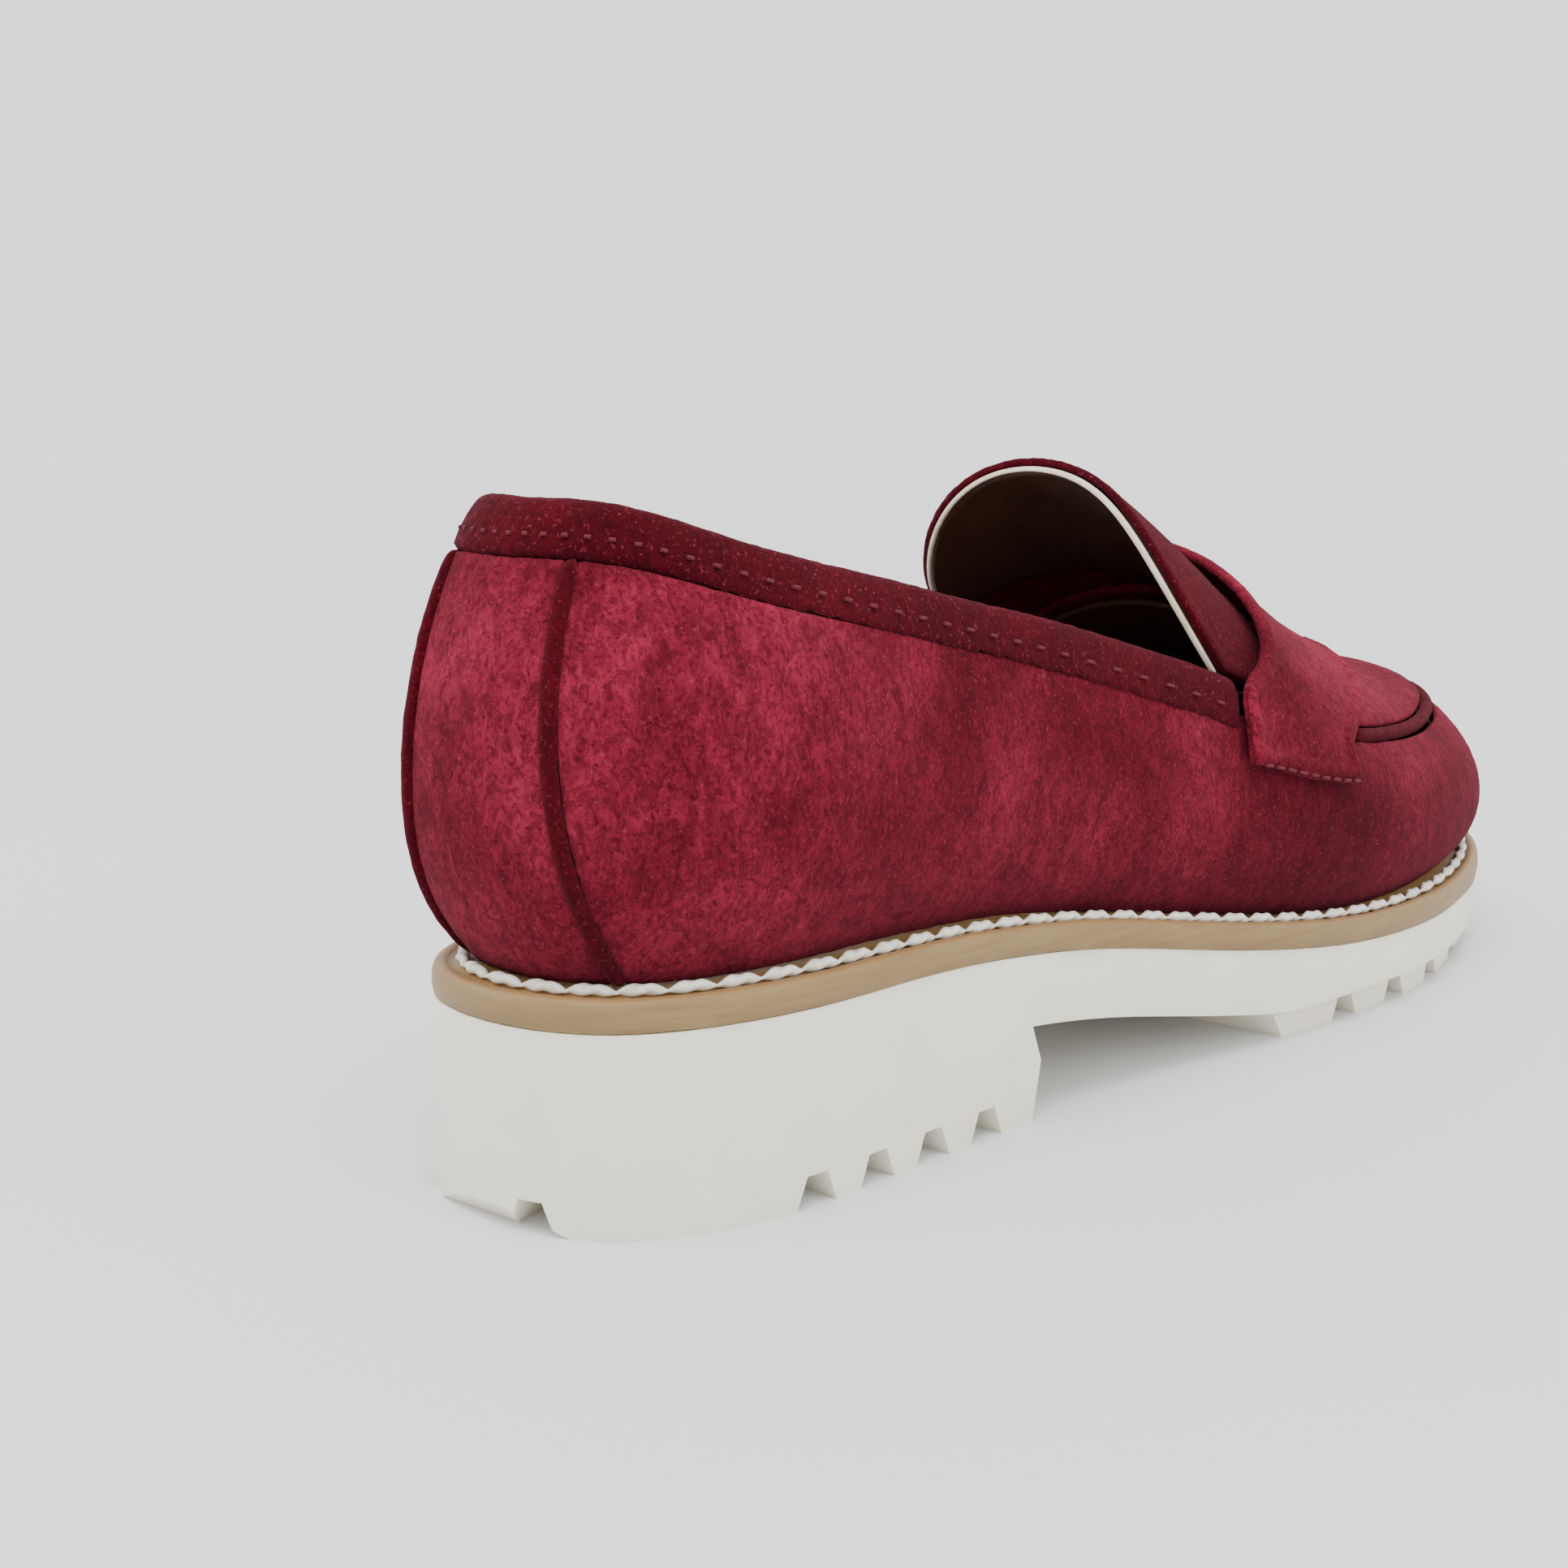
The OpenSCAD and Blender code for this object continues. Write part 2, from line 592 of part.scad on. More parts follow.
// Row of short stitches along the lower edge of the collar, on the outer side.
module collar_stitches() {
    n = 60;
    color("maroon") for (i = [1:n - 1]) {
        s = mix(throat_s_in - STATION_N, throat_s, i / n);
        f = collar_frame(s);
        g = collar_frame(s + 0.045);
        p = f[0] + (collar_mid + half_c + 0.4) * f[1] - (collar_h - 1.6) * f[2];
        q = g[0] + (collar_mid + half_c + 0.4) * g[1] - (collar_h - 1.6) * g[2];
        d = q - p;
        translate((p + q) / 2)
            rotate([0, acos(d.z / norm(d)), atan2(d.y, d.x)])
                cylinder(h = norm(d), d = 0.6, center = true, $fn = 13);
    }
}

// ---- apron, tongue and saddle ----
// The apron's edge follows the seam at a set distance, so that the seam's cord fits between.
seam_margin = 2.3;
function inset_top(s, m) = let(t = wall_top(s + 0.03) - wall_top(s - 0.03), n = unit([t.y, -t.x]))
    [wall_top(s).x - m * n.x, wall_top(s).y - m * n.y];
function inset_x(y, side, m, lo, hi, n = 16) =
    n == 0 ? inset_top(side > 0 ? lo : STATION_N - lo, m).x
    : let(mid = (lo + hi) / 2)
      inset_top(side > 0 ? mid : STATION_N - mid, m).y > y ? inset_x(y, side, m, lo, mid, n - 1)
      : inset_x(y, side, m, mid, hi, n - 1);
function reach_u(row, y, side, m) =
    let(x = inset_x(y, side, m, 1, side > 0 ? TOE_STATION : STATION_N - TOE_STATION),
        k = (x - row[0].x) / (row[1].x - row[0].x))
    asin(max(-1, min(1, 2 * k - 1))) / 90;
apron_y0 = strap_y_mid + tongue_tuck + 8;
APRON_COLS = steps(0, 1, 20);
// Grid over the top of the foot from ya to yb, m short of the seam.
function apron_grid(t, ya, yb, m) =
    let(ys = [for (k = steps(0, 1, 22)) mix(ya, yb, 1 - pow(1 - k, 1.6))],
        by_y = [for (y = ys) let(row = top_row(y), row2 = top_row(y + 0.4),
                                 u0 = reach_u(row, y, -1, m), u1 = reach_u(row, y, 1, m))
                [for (k = APRON_COLS) let(u = mix(u0, u1, k))
                 top_on(row, y, u) + t * top_normal(row, row2, y, y + 0.4, u)]])
    [for (i = [0:len(APRON_COLS) - 1]) [for (r = by_y) r[i]]];
apron_y1 = top_y_end - seam_margin - 0.3;

module apron() {
    color(suede_color) sheet(apron_grid(suede_t, apron_y0, apron_y1, seam_margin),
                             apron_grid(0, apron_y0, apron_y1, seam_margin));
}

module apron_lining() {
    color(lining_color)
        sheet(apron_grid(line_out, apron_y0 + 1, apron_y1 - 3, seam_margin + 2),
              apron_grid(line_out - lining_t, apron_y0 + 1, apron_y1 - 3, seam_margin + 2));
}

cord_r = 1.2;
cord_s0 = station_at_y(strap_y_mid + 12, 1, 0, TOE_STATION);
cord_s1 = STATION_N - station_at_y(strap_y_mid + 26, -1, 0, STATION_N - TOE_STATION);
module apron_seam_cord() {
    color(suede_color * 0.9) sweep([for (s = steps(cord_s0, cord_s1, 46))
        let(t = unit(wall_top(s + 0.05) - wall_top(s - 0.05)), out = unit(cross(t, [0, 0, 1])),
            up = cross(out, t))
        cord_ring(wall_top(s) + 0.7 * up + 0.2 * out, out, up, cord_r, 8)]);
}

// Across the foot: the tongue's free edge, and the saddle's rear and front edges, as y.
function strap_rear(u) = mix(strap_y_mid, u > 0 ? throat_y : throat_y_in - 6,
                             pow(abs(u), 1.5));
function strap_front(u) = mix(strap_y_mid + 54, throat_y + tab_l + (u > 0 ? 0 : 10),
                              pow(abs(u), 1.2));
function tongue_free(u) =
    mix(tongue_top_y, u > 0 ? throat_y + 1.5 : throat_y_in - 5, pow(abs(u), 3))
    - tongue_wave * pow(sin(180 * abs(u)), 2);
TONGUE_US = steps(-0.9, 0.9, 26);
function tongue_grid(t, back, front) = [for (u = TONGUE_US) [for (k = steps(0, 1, 9))
    top_out(mix(tongue_free(u) + back, strap_rear(u) + tongue_tuck * (1 - 0.6 * abs(u)) + front,
                k), u, t)]];

module tongue() {
    color(suede_color) sheet(tongue_grid(suede_t, 0, 0), tongue_grid(0, 0, 0));
}

module tongue_lining() {
    color(lining_color) sheet(tongue_grid(-layer_gap, 1.5, -0.5),
                              tongue_grid(-layer_gap - lining_t, 1.5, -0.5));
}

// Pale cut edge of the lining along the tongue's free edge.
module tongue_edge() {
    color("antiquewhite") sweep([for (i = [0:len(TONGUE_US) - 1])
        let(u = TONGUE_US[i], y = tongue_free(u), row = top_row(y), row2 = top_row(y + 0.6),
            n = top_normal(row, row2, y, y + 0.6, u), p = top_on(row, y, u), back = [0, 1, 0])
        [p - 0.35 * n + 0.4 * back, p - 1.4 * n + 0.4 * back, p - 1.4 * n - 0.5 * back,
         p - 0.35 * n - 0.5 * back]]);
}

strap_in = suede_t + tongue_gap;
tab_lean = 9;
// Saddle over the instep, with a tab that drops down each side wall past the apron seam.
function strap_point(u, k, t) =
    top_out(mix(strap_rear(u), strap_front(u), k), u, t);
function tab_point(side, k, d, t) =
    let(y = mix(strap_rear(side), strap_front(side), k),
        s0 = station_at_y(y, side, 0, side > 0 ? TOE_STATION : STATION_N - TOE_STATION),
        s = side > 0 ? s0 : STATION_N - s0)
    wall_out(s, below_top(s, 3.5 + (d - 3.5) * (1 + tab_lean / tab_drop * (1 - k))), t);
function strap_grid(t) = let(ks = steps(0, 1, 12)) concat(
    [for (d = steps(tab_drop, 3.5, 3)) [for (k = ks) tab_point(-1, k, d, t)]],
    [for (u = steps(-0.9, 0.9, 20)) [for (k = ks) strap_point(u, k, t)]],
    [for (d = steps(3.5, tab_drop, 3)) [for (k = ks) tab_point(1, k, d, t)]]);

module saddle_strap() {
    color(suede_color) sheet(strap_grid(strap_in + suede_t), strap_grid(strap_in));
}

// Stitches that hold the two tabs to the side walls.
module strap_tab_stitches() {
    n = 9;
    color("maroon") for (side = [-1, 1]) for (i = [0:n - 1]) {
        k = mix(0.1, 0.9, i / (n - 1));
        p = tab_point(side, k - 0.03, tab_drop, strap_in + suede_t + 0.5);
        q = tab_point(side, k + 0.03, tab_drop, strap_in + suede_t + 0.5);
        d = q - p;
        translate((p + q) / 2)
            rotate([0, acos(d.z / norm(d)), atan2(d.y, d.x)])
                cylinder(h = norm(d), d = 0.6, center = true, $fn = 13);
    }
}

outsole();
welt();
welt_stitches();
bottom_filler();
shank();
insole_board();
heel_cushion();
sock_lining();
vamp_and_quarters();
heel_counter();
counter_piping();
counter_stiffener();
toe_puff();
vamp_lining();
quarter_lining();
collar_binding();
collar_padding();
apron();
apron_lining();
apron_seam_cord();
saddle_strap();
strap_tab_stitches();
collar_stitches();
tongue();
tongue_lining();
tongue_edge();
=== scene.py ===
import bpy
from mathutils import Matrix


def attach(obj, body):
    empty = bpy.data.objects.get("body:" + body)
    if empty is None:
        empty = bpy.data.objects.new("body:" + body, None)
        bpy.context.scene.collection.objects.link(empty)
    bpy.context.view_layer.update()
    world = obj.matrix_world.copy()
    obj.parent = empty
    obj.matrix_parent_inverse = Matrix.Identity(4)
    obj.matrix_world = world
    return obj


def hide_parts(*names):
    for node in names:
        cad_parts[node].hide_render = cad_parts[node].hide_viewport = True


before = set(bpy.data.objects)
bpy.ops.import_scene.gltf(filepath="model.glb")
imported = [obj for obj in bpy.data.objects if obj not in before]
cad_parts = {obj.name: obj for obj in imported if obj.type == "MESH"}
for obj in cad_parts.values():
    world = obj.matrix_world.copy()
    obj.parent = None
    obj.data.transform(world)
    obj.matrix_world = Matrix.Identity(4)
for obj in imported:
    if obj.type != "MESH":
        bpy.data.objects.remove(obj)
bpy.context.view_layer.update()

from math import cos, pi, radians, sin

import bmesh
import bpy
from mathutils import Matrix, Vector, noise
from mathutils.kdtree import KDTree

# ---- Camera, lights and floor ----
# The shoe is seen from behind on its outer side, a little from above, on a plain pale floor
# under a wide soft light.
EYE = (0.2335, -0.3545, 0.124)
TILT_DOWN = 10.7
TURN = 40.0
LENS = 52.2
FLOOR_TONE = (0.67, 0.673, 0.685, 1)
FLOOR_FAR = (0.985, 0.985, 0.985, 1)
FLOOR_R = 9

bpy.ops.object.select_all(action="DESELECT")
bpy.ops.object.camera_add(location=EYE, rotation=(radians(90 - TILT_DOWN), 0, radians(TURN)))
camera = bpy.context.object
camera.data.lens = LENS
camera.data.sensor_width = 36
camera.data.clip_start = 0.01
bpy.context.scene.camera = camera


def soft_light(name, place, size, power):
    bpy.ops.object.light_add(type="AREA", location=place)
    lamp = bpy.context.object
    lamp.name = name
    lamp.data.shape = "DISK"
    lamp.data.size = size
    lamp.data.energy = power
    aim = Vector((0, 0, 0.04)) - Vector(place)
    lamp.rotation_euler = aim.to_track_quat("-Z", "Y").to_euler()


soft_light("light_over", (0.15, -0.35, 1.5), 1.3, 24)
soft_light("light_left", (-1.3, -0.9, 0.9), 1.0, 7)
soft_light("light_right", (1.4, 0.2, 0.8), 0.9, 6)

room = bpy.data.worlds.new("room")
room.use_nodes = True
room.node_tree.nodes["Background"].inputs["Color"].default_value = (0.93, 0.94, 0.95, 1)
room.node_tree.nodes["Background"].inputs["Strength"].default_value = 1.85
bpy.context.scene.world = room

bpy.ops.object.select_all(action="DESELECT")
bpy.ops.mesh.primitive_circle_add(vertices=96, radius=FLOOR_R, fill_type="NGON")
floor = bpy.context.object
floor.name = "floor"


class Finish:
    """A material being built: its shader, and textures that read a piece's own coordinates."""

    def __init__(self, name, roughness, specular=0.4):
        self.material = bpy.data.materials.new(name)
        self.material.use_nodes = True
        self.tree = self.material.node_tree
        self.shader = self.tree.nodes["Principled BSDF"]
        self.shader.inputs["Roughness"].default_value = roughness
        self.shader.inputs["Specular IOR Level"].default_value = specular
        self.coords = self.tree.nodes.new("ShaderNodeTexCoord")

    def join(self, source, target):
        self.tree.links.new(source, target)

    def stretched(self, sizes):
        """Object coordinates with a different scale along X, Y and Z."""
        mapping = self.tree.nodes.new("ShaderNodeMapping")
        mapping.inputs["Scale"].default_value = sizes
        self.join(self.coords.outputs["Object"], mapping.inputs["Vector"])
        return mapping.outputs["Vector"]

    def height(self):
        split = self.tree.nodes.new("ShaderNodeSeparateXYZ")
        self.join(self.coords.outputs["Object"], split.inputs["Vector"])
        return split.outputs["Z"]

    def grain(self, scale, detail=3, rough=0.5, warp=0, along=None):
        node = self.tree.nodes.new("ShaderNodeTexNoise")
        node.inputs["Scale"].default_value = scale
        node.inputs["Detail"].default_value = detail
        node.inputs["Roughness"].default_value = rough
        node.inputs["Distortion"].default_value = warp
        self.join(along or self.coords.outputs["Object"], node.inputs["Vector"])
        return node.outputs["Fac"]

    def band(self, value, low, high, bottom=0, top=1):
        """A value spread from low..high to bottom..top."""
        node = self.tree.nodes.new("ShaderNodeMapRange")
        for socket, number in zip(("From Min", "From Max", "To Min", "To Max"),
                                  (low, high, bottom, top)):
            node.inputs[socket].default_value = number
        self.join(value, node.inputs["Value"])
        return node.outputs["Result"]

    def blend_colour(self, share, first, second):
        node = self.tree.nodes.new("ShaderNodeMix")
        node.data_type = "RGBA"
        self.join(share, node.inputs["Factor"])
        for socket, colour in ((node.inputs[6], first), (node.inputs[7], second)):
            if isinstance(colour, tuple):
                socket.default_value = colour
            else:
                self.join(colour, socket)
        return node.outputs[2]

    def colour(self, output):
        self.join(output, self.shader.inputs["Base Color"])

    def bump(self, height, depth, strength=1, after=None):
        node = self.tree.nodes.new("ShaderNodeBump")
        node.inputs["Strength"].default_value = strength
        node.inputs["Distance"].default_value = depth
        self.join(height, node.inputs["Height"])
        if after:
            self.join(after, node.inputs["Normal"])
        self.join(node.outputs["Normal"], self.shader.inputs["Normal"])
        return node.outputs["Normal"]


def shade(colour, share):
    """The colour with its red, green and blue scaled by share."""
    return tuple(share * c for c in colour[:3]) + (1,)


paper = Finish("pale_floor", 0.85, 0.2)
paper_tone = paper.blend_colour(paper.band(paper.grain(3, 4), 0.3, 0.7), FLOOR_TONE,
                                shade(FLOOR_TONE, 0.985))
reach = paper.tree.nodes.new("ShaderNodeVectorMath")
reach.operation = "LENGTH"
paper.join(paper.coords.outputs["Object"], reach.inputs[0])
paper.colour(paper.blend_colour(paper.band(reach.outputs["Value"], 0.5, 2.6), paper_tone,
                                FLOOR_FAR))
floor.data.materials.append(paper.material)


# ---- Outsole ----
# One moulded piece of white rubber: platform, heel block and lugs. The mould leaves a small
# radius on every edge and a faint mottle on the walls.
SOLE_WHITE = (0.83, 0.785, 0.655, 1)
SOLE_SHADE = (0.77, 0.72, 0.59, 1)
MOULD_RADIUS = 0.0009
FLAT_WITHIN = radians(0.6)
MOULDED_OVER = radians(28)


def take(node, name):
    """A copy of a CAD node's mesh, its doubled points merged, selected and ready to work on."""
    bpy.ops.object.select_all(action="DESELECT")
    piece = bpy.data.objects.new(name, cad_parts[node].data.copy())
    bpy.context.scene.collection.objects.link(piece)
    piece.data.materials.clear()
    piece.select_set(True)
    bpy.context.view_layer.objects.active = piece
    bpy.ops.object.mode_set(mode="EDIT")
    bpy.ops.mesh.select_all(action="SELECT")
    bpy.ops.mesh.remove_doubles(threshold=2e-6)
    bpy.ops.object.mode_set(mode="OBJECT")
    return piece


def settle(piece, material, body, slot, *nodes):
    """Gives a finished piece its material and its body, and hides the CAD nodes that it stands
    for.
    """
    piece.data.materials.clear()
    piece.data.materials.append(material)
    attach(piece, body)
    if nodes:
        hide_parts(*nodes)


rubber = Finish("white_rubber", 0.56, 0.35)
rubber.colour(rubber.blend_colour(rubber.band(rubber.grain(45, 5, 0.6), 0.35, 0.72),
                                  SOLE_WHITE, SOLE_SHADE))
rubber.bump(rubber.grain(900, 3), 0.00012, 0.5,
            rubber.bump(rubber.grain(70, 2), 0.0005, 0.35))

sole = take("outsole", "outsole_moulded")
bpy.ops.object.mode_set(mode="EDIT")
bpy.ops.mesh.select_all(action="SELECT")
bpy.ops.mesh.dissolve_limited(angle_limit=FLAT_WITHIN)
bpy.ops.object.mode_set(mode="OBJECT")
edge_round = sole.modifiers.new("mould_radius", "BEVEL")
edge_round.width = MOULD_RADIUS
edge_round.segments = 3
edge_round.limit_method = "ANGLE"
edge_round.angle_limit = MOULDED_OVER
bpy.ops.object.modifier_apply(modifier="mould_radius")
bpy.ops.object.shade_smooth_by_angle(angle=radians(32))
settle(sole, rubber.material, "shoe", "sole", "outsole")


# ---- Welt ----
# A strip of tan leather laid round the shoe between the sole and the upper. Its outer edge is
# ground and waxed, and a shallow channel runs round its ledge for the stitches.
WELT_T = 0.005
WELT_IN = 0.0115
LEDGE_STEP = 0.003
FINE_GRAIN = 0.00012
BROAD_GRAIN = 0.00018
CHANNEL_AT = 0.0026
CHANNEL_W = 0.0026
CHANNEL_D = 0.0007
TAN = (0.245, 0.155, 0.058, 1)
TAN_DARK = (0.20, 0.122, 0.044, 1)
TAN_LEDGE = (0.28, 0.155, 0.055, 1)
SHOE_CORE_Z = 0.045


def ledge_ring(piece, spacing):
    """Points round the outer upper edge of a flat-lying ring, evenly spaced, from the heel."""
    mesh = bmesh.new()
    mesh.from_mesh(piece.data)
    mesh.normal_update()
    lying = {face for face in mesh.faces if face.normal.z > 0.8}
    steps = {}
    for edge in mesh.edges:
        if sum(face in lying for face in edge.link_faces) == 1:
            first, second = (vertex.index for vertex in edge.verts)
            steps.setdefault(first, []).append(second)
            steps.setdefault(second, []).append(first)
    mesh.verts.ensure_lookup_table()
    at = min(steps, key=lambda index: mesh.verts[index].co.y)
    loop = [at]
    for _ in range(len(steps)):
        onward = [index for index in steps[loop[-1]] if index not in loop[-2:]]
        if not onward or onward[0] == at:
            break
        loop.append(onward[0])
    loop = [mesh.verts[index] for index in loop]
    points = [vertex.co.copy() for vertex in loop]
    mesh.free()
    if points[1].x < points[-1].x:
        points = points[:1] + points[:0:-1]
    return even_ring(points, spacing)


def even_ring(points, spacing):
    """The closed loop through the points again, at an even spacing and slightly smoothed."""
    ends = points[1:] + points[:1]
    total = sum((b - a).length for a, b in zip(points, ends))
    count = round(total / spacing)
    even, gone, want = [], 0.0, 0.0
    for a, b in zip(points, ends):
        span = (b - a).length
        while len(even) < count and want <= gone + span:
            even.append(a.lerp(b, (want - gone) / span))
            want += total / count
        gone += span
    for _ in range(2):
        even = [0.25 * even[i - 1] + 0.5 * even[i] + 0.25 * even[(i + 1) % count]
                for i in range(count)]
    return even


def ring_sides(points):
    """The outward horizontal direction at each point of a loop that runs anticlockwise."""
    sides = []
    for i in range(len(points)):
        run = points[(i + 1) % len(points)] - points[i - 1]
        sides.append(Vector((run.y, -run.x, 0)).normalized())
    return sides


def swept_ring(name, points, section):
    """A closed ring with the same section, as (out, up) pairs, at every point."""
    mesh = bmesh.new()
    rows = []
    for point, side in zip(points, ring_sides(points)):
        rows.append([mesh.verts.new(point + out * side + Vector((0, 0, up)))
                     for out, up in section])
    for i in range(len(rows)):
        here, there = rows[i], rows[(i + 1) % len(rows)]
        for j in range(len(section)):
            k = (j + 1) % len(section)
            mesh.faces.new((here[j], there[j], there[k], here[k]))
    bmesh.ops.recalc_face_normals(mesh, faces=mesh.faces)
    data = bpy.data.meshes.new(name)
    mesh.to_mesh(data)
    mesh.free()
    piece = bpy.data.objects.new(name, data)
    bpy.context.scene.collection.objects.link(piece)
    bpy.ops.object.select_all(action="DESELECT")
    piece.select_set(True)
    bpy.context.view_layer.objects.active = piece
    return piece


def press_out(piece, height, outer_only=False):
    """Moves each point along its normal by height(point). The normals are all read first.
    outer_only leaves the side that faces the middle of the shoe as it is."""
    normals = [vertex.normal.copy() for vertex in piece.data.vertices]
    for vertex, normal in zip(piece.data.vertices, normals):
        from_core = Vector((vertex.co.x, 0, vertex.co.z - SHOE_CORE_Z))
        if not outer_only or normal.dot(from_core) > 0:
            vertex.co += normal * height(vertex.co)


welt_copy = take("welt", "welt_copy")
ledge_line = ledge_ring(welt_copy, LEDGE_STEP)
bpy.data.objects.remove(welt_copy)

welt_section = [(-0.0002, -WELT_T), (0.0004, -WELT_T + 0.0004), (0.0006, -WELT_T * 0.6),
                (0.0005, -0.0012), (0.0002, -0.0004), (-0.0004, 0)]
for k in range(9):
    across = -1 + k / 4
    dip = CHANNEL_D * cos(across * pi / 2) ** 0.7 if abs(across) < 1 else 0
    welt_section.append((-CHANNEL_AT - across * CHANNEL_W / 2, -dip))
welt_section += [(-WELT_IN, 0), (-WELT_IN, -WELT_T)]
welt = swept_ring("welt_strip", ledge_line, welt_section)
press_out(welt, lambda at: (noise.noise(at * 260) * FINE_GRAIN
                            + noise.noise(at * 70) * BROAD_GRAIN))
bpy.ops.object.shade_smooth_by_angle(angle=radians(50))

tan_leather = Finish("tan_welt_leather", 0.5, 0.45)
fibre = tan_leather.stretched((60, 60, 900))
face_up = tan_leather.tree.nodes.new("ShaderNodeSeparateXYZ")
tan_leather.join(tan_leather.tree.nodes.new("ShaderNodeNewGeometry").outputs["Normal"],
                 face_up.inputs["Vector"])
side_tone = tan_leather.blend_colour(
    tan_leather.band(tan_leather.grain(1, 4, 0.65, along=fibre), 0.38, 0.68), TAN, TAN_DARK)
tan_leather.colour(tan_leather.blend_colour(
    tan_leather.band(face_up.outputs["Z"], 0.55, 0.85), side_tone, TAN_LEDGE))
tan_leather.bump(tan_leather.grain(1, 4, 0.6, along=fibre), 0.0003, 0.6,
                 tan_leather.bump(tan_leather.grain(1400, 2), 0.0001, 0.5))
settle(welt, tan_leather.material, "shoe", "welt", "welt")


# ---- Welt stitches ----
# Thick waxed thread of two twisted strands. Each stitch lies plump in the channel and thins
# away at both ends, where it dives into the welt, round the whole shoe.
STITCH_PITCH = 0.0075
STITCH_L = 0.0079
THREAD_R = 0.00088
THREAD_WHITE = (0.80, 0.77, 0.69, 1)
THREAD_SHADE = (0.62, 0.58, 0.49, 1)
STITCH_RINGS = 15
STITCH_SIDES = 12
STITCH_LIFT = 0.0004
STITCH_TILT = 0.05


def stitch_points():
    """Rings of one stitch along X, its middle at the origin, rising out of the channel."""
    rings = []
    for i in range(STITCH_RINGS):
        along = i / (STITCH_RINGS - 1)
        full = sin(pi * min(0.97, max(0.03, along))) ** 0.6
        ring = []
        for k in range(STITCH_SIDES):
            turn = 2 * pi * k / STITCH_SIDES
            strand = 1 + 0.2 * cos(2 * turn - 13 * along)
            radius = THREAD_R * full * strand
            ring.append(Vector(((along - 0.5) * STITCH_L, radius * 1.08 * cos(turn),
                                radius * sin(turn) + 0.0005 * (full - 0.8))))
        rings.append(ring)
    return rings


def lay_stitches(name, line, pitch, inset, lift):
    """Copies of the stitch, each with its own points, along a closed line moved in by inset."""
    sides = ring_sides(line)
    row = [point - inset * side for point, side in zip(line, sides)]
    stops = even_ring(row, pitch)
    mesh = bmesh.new()
    shape = stitch_points()
    for i, middle in enumerate(stops):
        run = (stops[(i + 1) % len(stops)] - stops[i - 1]).normalized()
        side = run.cross(Vector((0, 0, 1))).normalized()
        place = Matrix((run, side, side.cross(run))).transposed().to_4x4()
        tilt = Matrix.Rotation(STITCH_TILT * sin(7.3 * i), 4, "Z")
        rings = [[mesh.verts.new(middle + Vector((0, 0, lift)) + (place @ tilt) @ point)
                  for point in ring] for ring in shape]
        for here, there in zip(rings, rings[1:]):
            for k in range(STITCH_SIDES):
                m = (k + 1) % STITCH_SIDES
                mesh.faces.new((here[k], there[k], there[m], here[m]))
        mesh.faces.new(rings[0])
        mesh.faces.new(rings[-1][::-1])
    bmesh.ops.recalc_face_normals(mesh, faces=mesh.faces)
    data = bpy.data.meshes.new(name)
    mesh.to_mesh(data)
    mesh.free()
    data.shade_smooth()
    piece = bpy.data.objects.new(name, data)
    bpy.context.scene.collection.objects.link(piece)
    return piece


thread = Finish("waxed_thread", 0.62, 0.3)
thread.colour(thread.blend_colour(thread.band(thread.grain(700, 3), 0.4, 0.72),
                                  THREAD_WHITE, THREAD_SHADE))
thread.bump(thread.grain(2600, 2), 0.00015, 0.6)
stitches = lay_stitches("welt_stitch_row", ledge_line, STITCH_PITCH, CHANNEL_AT,
                        STITCH_LIFT)
settle(stitches, thread.material, "shoe", "thread", "welt_stitches")


# ---- Vamp and quarters ----
# The suede that wraps the foot from one counter seam round the toe to the other. It is drawn
# over the last, so it is smooth and full. Its nap is lighter in brushed patches, and painted
# shade darkens it low down by the welt.
BURGUNDY = (0.082, 0.0022, 0.0075, 1)
BURGUNDY_DEEP = (0.021, 0.0006, 0.0022, 1)
BURGUNDY_BRUSHED = (0.255, 0.0180, 0.041, 1)
NAP_PALE = (0.30, 0.045, 0.065, 1)
# Heights between which the suede's painted shade runs, darkest at the bottom, fading out at the
# top.
LEDGE_Z = 0.030
SHADE_FADES_Z = 0.062
WALL_REACH = 0.004
WALL_PULL = 0.0012


def soften(piece, levels, crease=0.9, corner=50):
    """Quads, sharp edges creased, and a subdivision surface over a piece from take()."""
    bpy.context.view_layer.objects.active = piece
    bpy.ops.object.mode_set(mode="EDIT")
    bpy.ops.mesh.select_all(action="SELECT")
    bpy.ops.mesh.tris_convert_to_quads(face_threshold=pi, shape_threshold=pi)
    bpy.ops.mesh.select_mode(type="EDGE")
    bpy.ops.mesh.select_all(action="DESELECT")
    bpy.ops.mesh.edges_select_sharp(sharpness=radians(corner))
    bpy.ops.transform.edge_crease(value=crease)
    bpy.ops.object.mode_set(mode="OBJECT")
    smooth = piece.modifiers.new("smooth", "SUBSURF")
    smooth.levels = levels
    smooth.render_levels = levels
    bpy.ops.object.modifier_apply(modifier="smooth")
    bpy.ops.object.shade_smooth_by_angle(angle=radians(60))


def nap_relief(piece, broad=0.0003, fine=0.00012):
    """The suede's slight unevenness, and the clumps of its nap, as real relief."""
    press_out(piece, lambda at: noise.noise(at * 38) * broad + noise.noise(at * 800) * fine)


def sharp_edge_points(piece, corner=50, spacing=0.0006):
    """Points along the sharp edges of a piece, before it is smoothed."""
    mesh = bmesh.new()
    mesh.from_mesh(piece.data)
    points = []
    for edge in mesh.edges:
        if edge.is_manifold and edge.calc_face_angle() > radians(corner):
            first, second = (vertex.co for vertex in edge.verts)
            count = max(1, int((second - first).length / spacing))
            points += [first.lerp(second, k / count) for k in range(count + 1)]
    mesh.free()
    return points


def nearest(points):
    """A lookup that gives the distance from a place to the nearest of the points."""
    tree = KDTree(len(points))
    for i, point in enumerate(points):
        tree.insert(point, i)
    tree.balance()
    return lambda at: tree.find(at)


